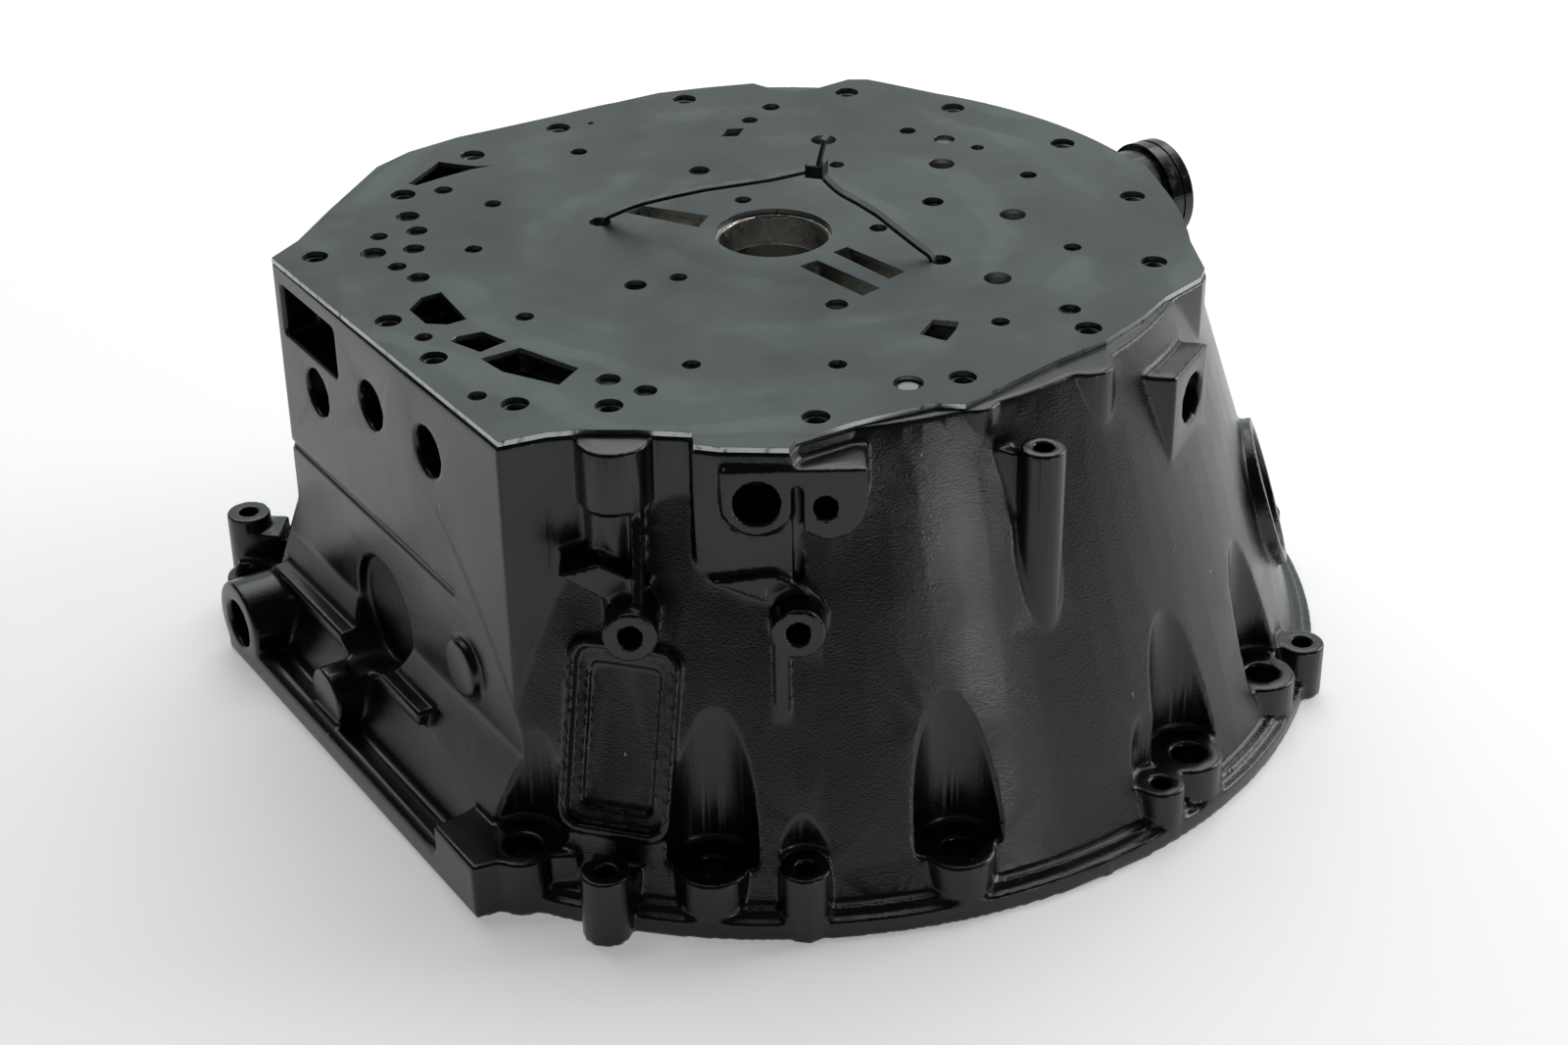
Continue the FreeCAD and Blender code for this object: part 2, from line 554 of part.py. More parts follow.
def wall_recesses():
    """Shallow recesses in the pan-side wall and the channels under the plate's windows."""
    wall_x = -S["pan_offset"]
    tools = [Part.makeBox(15.0, 45.0, 20.0, V(wall_x - CLEAR, 36.0, 137.0))]
    tools.append(cylinder(22.0, V(wall_x - 16.0, 14.0, 50.0), V(wall_x + 4.0, 14.0, 50.0)))
    tools.append(web(V(wall_x, 103.0, 0), V(wall_x, -48.0, 0), 3.0, 87.0, 90.0))
    slot = cylinder(4.2, V(0, S["bore_radius"] - 2.0, DECK_TOP - 9), V(0, S["bore_radius"] + 3.0, DECK_TOP - 9))
    tools.append(slot)
    tools.append(Part.makeBox(8.4, 5.0, 10.0 + CLEAR, V(-4.2, S["bore_radius"] - 2.0, DECK_TOP - 9.0)))
    for outline in WINDOWS.values():
        corners = [V(x, y, DECK_TOP - CHANNEL_DEPTH) for x, y in outline]
        wire = Part.makePolygon(corners + corners[:1]).makeOffset2D(CHANNEL_MARGIN)
        tools.append(Part.Face(wire).extrude(V(0, 0, CHANNEL_DEPTH + CLEAR)))
    return tools


def build_housing():
    """The casting, as one solid."""
    bell = add("Part::Cone", "bell", Radius1="sizes.cone_foot_radius", Radius2="sizes.cone_top_radius",
               Height="sizes.housing_height")
    skirt = keep("skirt", bell_skirt())
    raw_bell = join("raw_bell", [bell, skirt])
    pan_cut = keep("pan_side_cut", pan_side(0.0, -CLEAR))
    flat_bell = cut("flat_bell", raw_bell, pan_cut)
    scalloped = cut("scalloped_bell", flat_bell, keep("scallops", scallops()))

    rim = add("Part::Cylinder", "flange_rim", Radius="sizes.flange_radius", Height="sizes.flange_height")
    step = add("Part::Cylinder", "flange_step", Radius="sizes.flange_radius - sizes.step_setback",
               Height="sizes.flange_height + sizes.step_height")
    flat = keep("flange_flat", Part.makeBox(100.0, 1000.0, 100.0, V(-S["flat_offset"] - 100.0, -500.0, -50.0)))
    flange = cut("flange", join("round_flange", [rim, step]), flat)

    lug_block, lug_eye = bracket()
    window_rim, window_hole = side_window()
    added = flange_bosses() + front_bosses() + port_pad() + column_bosses() + pan_side_details()
    added += [lug_block, window_rim, wall_pocket_frame(), cap_stub()]
    bosses = keep("bosses", added[0].multiFuse(added[1:]))
    solid = join("solid_casting", [scalloped, flange, bosses])
    hollowed = cut("hollow_casting", solid, keep("hollow", hollow()))

    tools = drilled_holes() + wall_recesses() + [port_slot(), wall_pocket(), lug_eye, window_hole]
    machining = keep("machining", tools[0].multiFuse(tools[1:]))
    trimmed = cut("bell_housing", hollowed, machining)
    trimmed.Label = "bell_housing"
    return trimmed


# ---------------------------------------------------------------- separator plate

def build_plate():
    """Flat steel plate, cut out in one stroke."""
    body = doc.addObject("PartDesign::Body", "separator_plate")
    sketch = body.newObject("Sketcher::SketchObject", "plate_outline")
    plane = next(item for item in body.Origin.OriginFeatures if item.Role == "XY_Plane")
    sketch.AttachmentSupport = [(plane, "")]
    sketch.MapMode = "FlatFace"
    for edge in edge_wire(PLATE_EDGE, 0.0).Edges:
        sketch.addGeometry(sketch_curve(edge))
    for outline in WINDOWS.values():
        corners = [V(x, y, 0) for x, y in outline]
        for start, end in zip(corners, corners[1:] + corners[:1]):
            sketch.addGeometry(Part.LineSegment(start, end))
    for place, radius in plate_holes():
        sketch.addGeometry(Part.Circle(place, UP, radius))
    doc.recompute()
    pad = body.newObject("PartDesign::Pad", "plate_sheet")
    pad.Profile = sketch
    pad.setExpression("Length", "sizes.plate_thickness")
    body.Tip = pad
    body.Placement = FreeCAD.Placement(V(0, 0, DECK_TOP), FreeCAD.Rotation())
    body.setExpression("Placement.Base.z", "sizes.housing_height")
    body.Label = "separator_plate"
    return body


def sketch_curve(edge):
    """An outline edge as sketch geometry."""
    start = edge.valueAt(edge.FirstParameter)
    end = edge.valueAt(edge.LastParameter)
    if isinstance(edge.Curve, Part.Circle):
        return Part.ArcOfCircle(edge.Curve, edge.FirstParameter, edge.LastParameter)
    return Part.LineSegment(start, end)


def plate_holes():
    """Place and radius of every round hole in the plate."""
    holes = [(V(0, 0, 0), S["plate_bore_radius"])]
    holes += [(V(x, y, 0), S["rim_hole"]) for x, y in RIM_BOLTS]
    holes += [(polar(S["inner_ring"], a), S["inner_ring_hole"]) for a in INNER_RING_ANGLES]
    holes += [(polar(S["middle_ring"], a), S["middle_ring_hole"]) for a in MIDDLE_RING_ANGLES]
    pin_angle = 19.3
    holes += [(polar(S["outer_ring"], a), S["outer_ring_hole"]) for a in OUTER_RING_ANGLES
              if a != pin_angle]
    holes += [(V(x, y, 0), radius) for x, y, radius in PASSAGES + PIN_HOLES]
    return holes


# ---------------------------------------------------------------- small pieces

def build_pins():
    """Two locating pins, standing in blind holes of the gearbox face."""
    pins = []
    for x, y, _ in PIN_HOLES:
        pin = post(S["pin_radius"], V(x, y, 0), DECK_TOP - S["pin_height"], DECK_TOP + 0.6)
        top = [e for e in pin.Edges if abs(e.BoundBox.ZMin - DECK_TOP - 0.6) < 1e-6
               and abs(e.BoundBox.ZMax - DECK_TOP - 0.6) < 1e-6]
        pins.append(pin.makeChamfer(0.5, top))
    item = keep("locating_pins", Part.makeCompound(pins))
    item.Label = "locating_pins"
    return item


# Route of the tie's strap in its own upright plane: across, height above the plate, and the
# radius of the bend there.
TIE_ARCH = ((-64.0, 4.0, 8.0), (-46.0, 11.5, 30.0), (-10.0, 21.8, 60.0), (19.1, 30.0, 3.0),
            (46.0, 12.5, 30.0), (63.5, 0.5, 5.0))


def rounded_loop(points):
    """Closed wire of straight runs joined by tangent arcs, from (x, y, radius) points."""
    count = len(points)
    edges = []
    joints = []
    for index, (x, y, radius) in enumerate(points):
        here = V(x, y, 0)
        before = (V(*points[index - 1][:2], 0) - here).normalize()
        after = (V(*points[(index + 1) % count][:2], 0) - here).normalize()
        half = before.getAngle(after) / 2
        reach = radius / math.tan(half)
        middle = here + (before + after).normalize() * (radius / math.sin(half) - radius)
        joints.append((here + before * reach, middle, here + after * reach))
    for index, (start, middle, end) in enumerate(joints):
        edges.append(Part.Arc(start, middle, end).toShape())
        edges.append(Part.makeLine(end, joints[(index + 1) % count][0]))
    return Part.Wire(edges)


def build_tie():
    """Nylon cable tie: a closed strap, its square head and the cut tail, moulded as one."""
    thickness = S["tie_thickness"]
    width = S["tie_width"]
    under = HUB_BOTTOM - S["seat_gap"] - thickness / 2
    arch = [(s, PLATE_TOP + rise, radius) for s, rise, radius in TIE_ARCH]
    route = [(-64.0, under, 6.0)] + arch + [(63.5, under, 6.0)]
    route.reverse()
    loop = rounded_loop(route)
    outer = Part.Face(loop.makeOffset2D(thickness / 2))
    inner = Part.Face(loop.makeOffset2D(-thickness / 2))
    strap = outer.cut(inner).Faces[0].extrude(V(0, 0, width))
    strap.translate(V(0, 0, -width / 2))
    head = S["tie_head"]
    lock = Part.makeBox(head, head * 0.8, head, V(19.1 - head / 2, PLATE_TOP + 26.4, -head / 2))
    tail = Part.makeBox(thickness, 14.0, width, V(20.0, PLATE_TOP + 30.0, -width / 2))
    tail.rotate(V(20.0, PLATE_TOP + 30.0, 0), UP, -12.0)
    tie = strap.multiFuse([lock, tail]).removeSplitter()
    along = math.degrees(math.atan2(-0.762, 0.648))
    stand = FreeCAD.Rotation(UP, along).multiply(FreeCAD.Rotation(V(1, 0, 0), 90.0))
    item = keep("cable_tie", tie)
    item.Placement = FreeCAD.Placement(V(0.762 * -7.5, 0.648 * -7.5, 0), stand)
    item.Label = "cable_tie"
    return item


def build_cap():
    """Plastic cap pressed over the stub on the far side, open towards the casting."""
    radius = S["cap_radius"]
    length = S["cap_length"]
    base = S["cap_wall"]
    shell = Part.makeCylinder(radius, length, V(0, 0, 0), V(1, 0, 0))
    room = Part.makeCylinder(radius - base, length - base, V(0, 0, 0), V(1, 0, 0))
    rim = [e for e in shell.Edges if abs(e.BoundBox.XMin - length) < 1e-6]
    cap = shell.makeFillet(1.2, rim).cut(room)
    item = keep("shaft_cap", cap)
    item.Placement = FreeCAD.Placement(CAP_SEAT - V(length - base, 0, 0), FreeCAD.Rotation())
    item.Label = "shaft_cap"
    return item


def export(items):
    """Check every object of the document, then write each piece to its own file."""
    doc.recompute()
    for item in doc.Objects:
        if "Invalid" in item.State or "Error" in item.State:
            raise RuntimeError(f"{item.Name} did not compute")
    os.makedirs("parts", exist_ok=True)
    for item in items:
        shape = item.Shape
        if shape.isNull() or not shape.isValid():
            raise RuntimeError(f"{item.Label} is not a valid shape")
        print(item.Label, "solids", len(shape.Solids), "faces", len(shape.Faces),
              "volume cm3", round(shape.Volume / 1000, 1))
        shape.exportStep(f"parts/{item.Label}.step")


export([build_housing(), build_plate(), build_pins(), build_tie(), build_cap()])
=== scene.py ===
"""Looks of a gearbox bell housing: painted die casting, separator plate, cable tie and cap.

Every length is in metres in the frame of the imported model: the origin is the centre of the
engine face, +Z runs up to the gearbox face and the oil pan side faces -X.
"""
import logging
import math
from dataclasses import dataclass, field
from typing import Any, Sequence

import bmesh
import bpy
import numpy as np
from mathutils import Matrix, Vector


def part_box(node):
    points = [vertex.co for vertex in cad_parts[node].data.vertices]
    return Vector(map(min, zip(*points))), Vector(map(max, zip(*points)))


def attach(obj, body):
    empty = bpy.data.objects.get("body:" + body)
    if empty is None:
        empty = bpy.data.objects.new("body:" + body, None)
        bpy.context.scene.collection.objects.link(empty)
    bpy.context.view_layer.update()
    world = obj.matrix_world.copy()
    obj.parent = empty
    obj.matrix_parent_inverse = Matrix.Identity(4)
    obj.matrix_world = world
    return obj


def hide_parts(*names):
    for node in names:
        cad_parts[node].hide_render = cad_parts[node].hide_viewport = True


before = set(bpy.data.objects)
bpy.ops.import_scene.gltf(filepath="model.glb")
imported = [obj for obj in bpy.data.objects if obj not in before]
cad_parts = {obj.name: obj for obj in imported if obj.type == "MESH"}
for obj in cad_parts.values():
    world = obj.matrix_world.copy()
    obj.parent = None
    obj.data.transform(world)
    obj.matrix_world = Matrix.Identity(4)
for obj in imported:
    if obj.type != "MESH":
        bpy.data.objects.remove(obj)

log = logging.getLogger("bell_housing")

MM = 0.001
BODY = "root"
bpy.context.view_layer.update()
PLATE_LOW, PLATE_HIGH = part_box("separator_plate")
DECK_TOP = PLATE_LOW.z
PLATE_TOP = PLATE_HIGH.z


# ---------------------------------------------------------------- helpers

def linear(hex_colour: str) -> tuple[float, float, float, float]:
    """Turn an sRGB hex colour into the linear colour that a shader takes.

    Args:
        hex_colour: Six hex digits, with or without a leading mark.

    Returns:
        Linear red, green, blue and an alpha of one.
    """
    digits = hex_colour.lstrip("#")
    values = [int(digits[i:i + 2], 16) / 255 for i in (0, 2, 4)]
    curve = [v / 12.92 if v <= 0.04045 else ((v + 0.055) / 1.055) ** 2.4 for v in values]
    return (curve[0], curve[1], curve[2], 1.0)


def add_node(tree: bpy.types.NodeTree, kind: str, settings: dict[str, Any] | None = None,
             inputs: dict[Any, Any] | None = None) -> bpy.types.Node:
    """Add a shader node with its settings, values and links.

    Args:
        tree: The node tree that gets the node.
        kind: Type name of the node.
        settings: Properties of the node itself.
        inputs: Socket name or index to a value, or to the output socket that feeds it.

    Returns:
        The new node.
    """
    node = tree.nodes.new(kind)
    for name, value in (settings or {}).items():
        setattr(node, name, value)
    for name, value in (inputs or {}).items():
        if isinstance(value, bpy.types.NodeSocket):
            tree.links.new(value, node.inputs[name])
        else:
            node.inputs[name].default_value = value
    return node


def new_piece(name: str, vertices: np.ndarray, faces: Sequence[Sequence[int]],
              material: bpy.types.Material, smooth: bool = True) -> bpy.types.Object:
    """Make a mesh object of the part at the origin, and ride it on the body.

    Args:
        name: Name of the piece.
        vertices: Points, one row each, in metres.
        faces: Corner numbers of each face.
        material: Its finish.
        smooth: Whether its faces are shaded smooth.

    Returns:
        The new object.
    """
    mesh = bpy.data.meshes.new(name)
    mesh.from_pydata(vertices.tolist(), [], [list(map(int, face)) for face in faces])
    mesh.polygons.foreach_set("use_smooth", np.full(len(mesh.polygons), smooth))
    mesh.materials.append(material)
    piece = bpy.data.objects.new(name, mesh)
    bpy.context.scene.collection.objects.link(piece)
    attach(piece, BODY)
    return piece


def grid_faces(rows: int, columns: int, wrap_rows: bool = False,
               wrap_columns: bool = False) -> np.ndarray:
    """Corner numbers of the quads of a grid whose points are numbered row by row.

    Args:
        rows: Number of rows of points.
        columns: Number of points in a row.
        wrap_rows: Whether the last row joins the first.
        wrap_columns: Whether each row closes on itself.

    Returns:
        One row of four corner numbers for each quad.
    """
    i, j = np.meshgrid(np.arange(rows - (not wrap_rows)), np.arange(columns - (not wrap_columns)),
                       indexing="ij")
    i, j = i.ravel(), j.ravel()
    below, beside = (i + 1) % rows, (j + 1) % columns
    return np.stack([i * columns + j, i * columns + beside, below * columns + beside,
                     below * columns + j], axis=1)


def turned(profile: np.ndarray, steps: int) -> tuple[np.ndarray, np.ndarray]:
    """Turn a closed (radius, height) profile about +Z.

    A point is (radius cos a, radius sin a, height) for every profile point and every angle a.

    Args:
        profile: Radius and height, one row a point, in the order that faces outwards.
        steps: Number of angles.

    Returns:
        Points and quads.
    """
    angle = np.linspace(0, 2 * math.pi, steps, endpoint=False)
    radius, height = profile[:, 0][:, None], profile[:, 1][:, None]
    points = np.stack([radius * np.cos(angle), radius * np.sin(angle),
                       np.broadcast_to(height, (len(profile), steps))], axis=-1)
    return points.reshape(-1, 3), grid_faces(len(profile), steps, True, True)[:, ::-1]


def eased(points: np.ndarray, count: int) -> np.ndarray:
    """Walk a polyline at even steps and round its corners.

    Args:
        points: Corners of the polyline, one row each.
        count: Number of points to return.

    Returns:
        Evenly spaced points, each averaged with its neighbours; the two ends stay.
    """
    run = np.concatenate([[0], np.cumsum(np.linalg.norm(np.diff(points, axis=0), axis=1))])
    even = np.linspace(0, run[-1], count)
    path = np.stack([np.interp(even, run, column) for column in points.T], axis=1)
    for _ in range(6):
        path[1:-1] = (path[:-2] + 2 * path[1:-1] + path[2:]) / 4
    return path


def carried(path: np.ndarray, side: np.ndarray,
            profile: np.ndarray) -> tuple[np.ndarray, list[list[int]]]:
    """Carry a closed profile along a path and close both ends.

    A point is path + side * across + up * rise, where up is square to side and to the path.

    Args:
        path: Points of the path, one row each.
        side: Unit vector across the path.
        profile: Across and rise, one row a point.

    Returns:
        Points and faces: the quads of the walls, then the two ends.
    """
    heading = np.gradient(path, axis=0)
    up = np.cross(heading, side)
    up /= np.linalg.norm(up, axis=1, keepdims=True)
    across, rise = profile[:, 0][None, :, None], profile[:, 1][None, :, None]
    points = path[:, None, :] + side[None, None, :] * across + up[:, None, :] * rise
    count = len(profile)
    walls = grid_faces(len(path), count, False, True).tolist()
    last = (len(path) - 1) * count
    ends = [list(range(count)), list(range(last, last + count))[::-1]]
    return points.reshape(-1, 3), walls + ends


def flat_block(outline: Sequence[tuple[float, float]], bottom: float,
               top: float) -> tuple[np.ndarray, list[list[int]]]:
    """Upright slab over an outline given in millimetres.

    Args:
        outline: Corners as x and y in millimetres, anticlockwise.
        bottom: Height of its underside in metres.
        top: Height of its top in metres.

    Returns:
        Points and faces.
    """
    plan = np.array(outline) * MM
    count = len(plan)
    points = np.concatenate([np.column_stack([plan, np.full(count, level)])
                             for level in (bottom, top)])
    sides = [[i, (i + 1) % count, count + (i + 1) % count, count + i] for i in range(count)]
    return points, sides + [list(range(count))[::-1], list(range(count, 2 * count))]


def join_parts(parts: Sequence[tuple[np.ndarray, list[list[int]]]]
               ) -> tuple[np.ndarray, list[list[int]]]:
    """Put several shells into one list of points and one of faces."""
    points, faces, start = [], [], 0
    for shell_points, shell_faces in parts:
        points.append(shell_points)
        faces += [[corner + start for corner in face] for face in shell_faces]
        start += len(shell_points)
    return np.concatenate(points), faces


def merged_copy(node: str, name: str) -> bpy.types.Object:
    """Copy a CAD node's mesh with its doubles merged.

    Args:
        node: The CAD node.
        name: Name of the copy.

    Returns:
        An object at the origin that holds the copy.
    """
    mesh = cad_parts[node].data.copy()
    mesh.name = name
    mesh.materials.clear()
    shell = bmesh.new()
    shell.from_mesh(mesh)
    bmesh.ops.remove_doubles(shell, verts=shell.verts, dist=0.002 * MM)
    shell.to_mesh(mesh)
    shell.free()
    copy = bpy.data.objects.new(name, mesh)
    bpy.context.scene.collection.objects.link(copy)
    return copy


def apply_modifiers(piece: bpy.types.Object) -> None:
    """Replace an object's mesh by what its modifiers make of it."""
    graph = bpy.context.evaluated_depsgraph_get()
    mesh = bpy.data.meshes.new_from_object(piece.evaluated_get(graph))
    mesh.name = piece.name
    piece.modifiers.clear()
    piece.data = mesh


def mesh_arrays(mesh: bpy.types.Mesh) -> tuple[np.ndarray, np.ndarray, np.ndarray]:
    """Read a mesh's points, its vertex normals and its edges as arrays."""
    count = len(mesh.vertices)
    points = np.empty(count * 3)
    normals = np.empty(count * 3)
    edges = np.empty(len(mesh.edges) * 2, int)
    mesh.vertices.foreach_get("co", points)
    mesh.vertices.foreach_get("normal", normals)
    mesh.edges.foreach_get("vertices", edges)
    return points.reshape(-1, 3), normals.reshape(-1, 3), edges.reshape(-1, 2)


def write_mask(mesh: bpy.types.Mesh, name: str, values: np.ndarray) -> None:
    """Store one number a vertex under a name that materials read."""
    layer = mesh.attributes.new(name, "FLOAT", "POINT")
    layer.data.foreach_set("value", np.clip(values, 0, 1).astype(np.float32))


def ramp(values: np.ndarray, low: float, high: float) -> np.ndarray:
    """Rise evenly from zero at low to one at high."""
    return np.clip((values - low) / (high - low), 0, 1)


# ---------------------------------------------------------------- finishes

@dataclass(frozen=True)
class Finish:
    """What every finish has: a name, and a shader that its own nodes feed."""

    name: str

    def build(self) -> bpy.types.Material:
        """Make the material and let the finish dress its shader."""
        material = bpy.data.materials.new(self.name)
        material.use_nodes = True
        tree = material.node_tree
        tree.nodes.clear()
        shader = add_node(tree, "ShaderNodeBsdfPrincipled")
        add_node(tree, "ShaderNodeOutputMaterial", inputs={"Surface": shader.outputs["BSDF"]})
        place = add_node(tree, "ShaderNodeTexCoord").outputs["Object"]
        self.dress(tree, shader, place)
        return material

    def dress(self, tree: bpy.types.NodeTree, shader: bpy.types.Node,
              place: bpy.types.NodeSocket) -> None:
        """Set the shader's values and link its patterns."""
        raise NotImplementedError


def noise(tree: bpy.types.NodeTree, place: bpy.types.NodeSocket, size_mm: float,
          detail: float = 2.0, rough: float = 0.5) -> bpy.types.NodeSocket:
    """Noise whose blobs are about size_mm across.

    Args:
        tree: The node tree.
        place: Coordinates in metres.
        size_mm: Size of a blob.
        detail: Octaves of finer noise.
        rough: Strength of each finer octave.

    Returns:
        Its value, about a half on average.
    """
    node = add_node(tree, "ShaderNodeTexNoise", {"noise_dimensions": "3D"},
                    {"Vector": place, "Scale": 1 / (size_mm * MM), "Detail": detail,
                     "Roughness": rough})
    return node.outputs["Fac"]


def between(tree: bpy.types.NodeTree, value: bpy.types.NodeSocket, low: float, high: float,
            to_low: float = 0.0, to_high: float = 1.0) -> bpy.types.NodeSocket:
    """Spread a value from one range to another, and stop it there."""
    node = add_node(tree, "ShaderNodeMapRange", {"clamp": True, "interpolation_type": "SMOOTHSTEP"},
                    {"Value": value, "From Min": low, "From Max": high,
                     "To Min": to_low, "To Max": to_high})
    return node.outputs["Result"]


def blend(tree: bpy.types.NodeTree, share: Any, first: Any, second: Any,
          colour: bool = True) -> bpy.types.NodeSocket:
    """Mix two colours, or two numbers, by a share."""
    kind = "RGBA" if colour else "FLOAT"
    slots = (6, 7, 2) if colour else (2, 3, 0)
    node = add_node(tree, "ShaderNodeMix", {"data_type": kind},
                    {0: share, slots[0]: first, slots[1]: second})
    return node.outputs[slots[2]]


def reckon(tree: bpy.types.NodeTree, operation: str, first: Any,
           second: Any) -> bpy.types.NodeSocket:
    """Work out one number from two."""
    node = add_node(tree, "ShaderNodeMath", {"operation": operation}, {0: first, 1: second})
    return node.outputs[0]


def mask(tree: bpy.types.NodeTree, name: str) -> bpy.types.NodeSocket:
    """Read a number that the mesh carries for each vertex."""
    return add_node(tree, "ShaderNodeAttribute", {"attribute_name": name}).outputs["Fac"]


@dataclass(frozen=True)
class GlossPaint(Finish):
    """Gloss black enamel sprayed over a die casting, bare where it was masked or knocked off.

    The film follows the grain of the casting, so a highlight breaks up into sparks.
    """

    paint: str = "#080a0b"
    haze: str = "#161c1b"
    bare: str = "#b4b3ac"
    # Raw cast aluminium of the inner walls and engine face, darkened further as painted shade for
    # the dim inside of the bell.
    raw_cast_and_shade: str = "#6f7270"
    grain_mm: float = 0.8
    grain_height_mm: float = 0.07

    def dress(self, tree: bpy.types.NodeTree, shader: bpy.types.Node,
              place: bpy.types.NodeSocket) -> None:
        """Layer dust, chips, scratches and bare metal over the paint."""
        chips = between(tree, reckon(tree, "ADD", mask(tree, "edge"), reckon(
            tree, "MULTIPLY", noise(tree, place, 4.0, 4.0, 0.6), 0.9)), 1.06, 1.16)
        scratch = self.scratches(tree, place)
        metal = reckon(tree, "MAXIMUM", mask(tree, "bare"), reckon(tree, "MAXIMUM", chips, scratch))
        inside = mask(tree, "inside")
        metal = reckon(tree, "MAXIMUM", metal, inside)
        dusty = reckon(tree, "MULTIPLY", mask(tree, "hollow"), noise(tree, place, 9.0, 3.0))
        painted = blend(tree, dusty, linear(self.paint), linear(self.haze))
        # The inner walls take the raw tone: raw cast aluminium, partly darkened as painted shade of
        # the hollow interior.
        bright = blend(tree, inside, linear(self.bare), linear(self.raw_cast_and_shade))
        bright = blend(tree, between(tree, noise(tree, place, 5.0, 5.0, 0.65), 0.35, 0.7), bright,
                       linear("#7d7b74"))
        colour = blend(tree, metal, painted, bright)
        tree.links.new(colour, shader.inputs["Base Color"])
        tree.links.new(metal, shader.inputs["Metallic"])
        film = between(tree, noise(tree, place, 30.0, 3.0, 0.5), 0.3, 0.75, 0.2, 0.28)
        film = blend(tree, dusty, film, 0.55, False)
        tree.links.new(blend(tree, metal, film, 0.42, False), shader.inputs["Roughness"])
        tree.links.new(self.relief(tree, place, metal), shader.inputs["Normal"])

    def scratches(self, tree: bpy.types.NodeTree,
                  place: bpy.types.NodeSocket) -> bpy.types.NodeSocket:
        """Sparse short nicks, where a stretched noise passes a high threshold."""
        bent = add_node(tree, "ShaderNodeMapping", inputs={
            "Vector": place, "Rotation": (0.5, 0.9, 0.3), "Scale": (1.0, 1.0, 0.16)}).outputs[0]
        return between(tree, noise(tree, bent, 2.2, 1.0), 0.815, 0.83)

    def relief(self, tree: bpy.types.NodeTree, place: bpy.types.NodeSocket,
               metal: bpy.types.NodeSocket) -> bpy.types.NodeSocket:
        """Grain of the die under the film, softer where the surface was machined."""
        rough = reckon(tree, "SUBTRACT", 1.0, mask(tree, "machined"))
        patch = between(tree, noise(tree, place, 60.0, 2.0), 0.4, 0.62, 0.6, 1.0)
        grain = reckon(tree, "MULTIPLY", noise(tree, place, self.grain_mm, 3.0, 0.6),
                       reckon(tree, "MULTIPLY", rough, patch))
        grain_bump = add_node(tree, "ShaderNodeBump", inputs={
            "Strength": 1.0, "Distance": self.grain_height_mm * MM * 2.2, "Height": grain})
        wave = add_node(tree, "ShaderNodeBump", inputs={
            "Strength": 1.0, "Distance": 0.05 * MM, "Height": noise(tree, place, 9.0, 1.0),
            "Normal": grain_bump.outputs[0]})
        return wave.outputs[0]


@dataclass(frozen=True)
class RolledSteel(Finish):
    """Cold-rolled steel sheet under an oily film, satin, with a faint green cast.

    Wiped oil leaves paler patches and arcs, and handling leaves fine scratches.
    """

    steel: str = "#2c3433"
    film: str = "#46514f"

    def dress(self, tree: bpy.types.NodeTree, shader: bpy.types.Node,
              place: bpy.types.NodeSocket) -> None:
        """Spread stains, wiped arcs, scratches and worn edges over the sheet."""
        stain = between(tree, noise(tree, place, 70.0, 4.0, 0.55), 0.4, 0.66)
        rings = add_node(tree, "ShaderNodeTexWave", {"wave_type": "RINGS", "rings_direction": "Z"},
                         {"Vector": place, "Scale": 9.0, "Distortion": 6.0, "Detail": 2.0,
                          "Detail Scale": 1.4}).outputs["Fac"]
        patch = reckon(tree, "MULTIPLY", between(tree, rings, 0.55, 1.0), stain)
        worn = between(tree, reckon(tree, "ADD", mask(tree, "edge"), reckon(
            tree, "MULTIPLY", noise(tree, place, 3.0, 3.0), 0.8)), 1.15, 1.3)
        colour = blend(tree, reckon(tree, "MULTIPLY", stain, 0.6), linear(self.steel),
                       linear(self.film))
        colour = blend(tree, reckon(tree, "MULTIPLY", patch, 0.35), colour, linear("#5b6664"))
        colour = blend(tree, worn, colour, linear("#a9aca8"))
        tree.links.new(colour, shader.inputs["Base Color"])
        tree.links.new(between(tree, worn, 0.0, 1.0, 0.55, 1.0), shader.inputs["Metallic"])
        sheen = between(tree, noise(tree, place, 38.0, 5.0, 0.6), 0.3, 0.72, 0.3, 0.46)
        tree.links.new(blend(tree, patch, sheen, 0.26, False), shader.inputs["Roughness"])
        drawn = add_node(tree, "ShaderNodeMapping", inputs={
            "Vector": place, "Rotation": (0.0, 0.0, 0.35), "Scale": (1.0, 0.03, 1.0)}).outputs[0]
        height = reckon(tree, "ADD", noise(tree, drawn, 0.7, 2.0), noise(tree, place, 25.0, 1.0))
        bump = add_node(tree, "ShaderNodeBump", inputs={
            "Strength": 0.5, "Distance": 0.012 * MM, "Height": height})
        tree.links.new(bump.outputs[0], shader.inputs["Normal"])


@dataclass(frozen=True)
class MachinedMetal(Finish):
    """Bare metal, turned or milled: bright, with fine tool marks and darker oily spots."""

    light: str = "#c4c1b8"
    dark: str = "#6c6a63"
    metal: float = 1.0

    def dress(self, tree: bpy.types.NodeTree, shader: bpy.types.Node,
              place: bpy.types.NodeSocket) -> None:
        """Vary the metal's tone, and lay tool marks into it."""
        tone = between(tree, noise(tree, place, 6.0, 4.0, 0.6), 0.35, 0.7)
        colour = blend(tree, tone, linear(self.light), linear(self.dark))
        tree.links.new(colour, shader.inputs["Base Color"])
        shader.inputs["Metallic"].default_value = self.metal
        tree.links.new(between(tree, tone, 0.0, 1.0, 0.24, 0.5), shader.inputs["Roughness"])
        bump = add_node(tree, "ShaderNodeBump", inputs={
            "Strength": 0.6, "Distance": 0.02 * MM, "Height": noise(tree, place, 0.9, 3.0)})
        tree.links.new(bump.outputs[0], shader.inputs["Normal"])


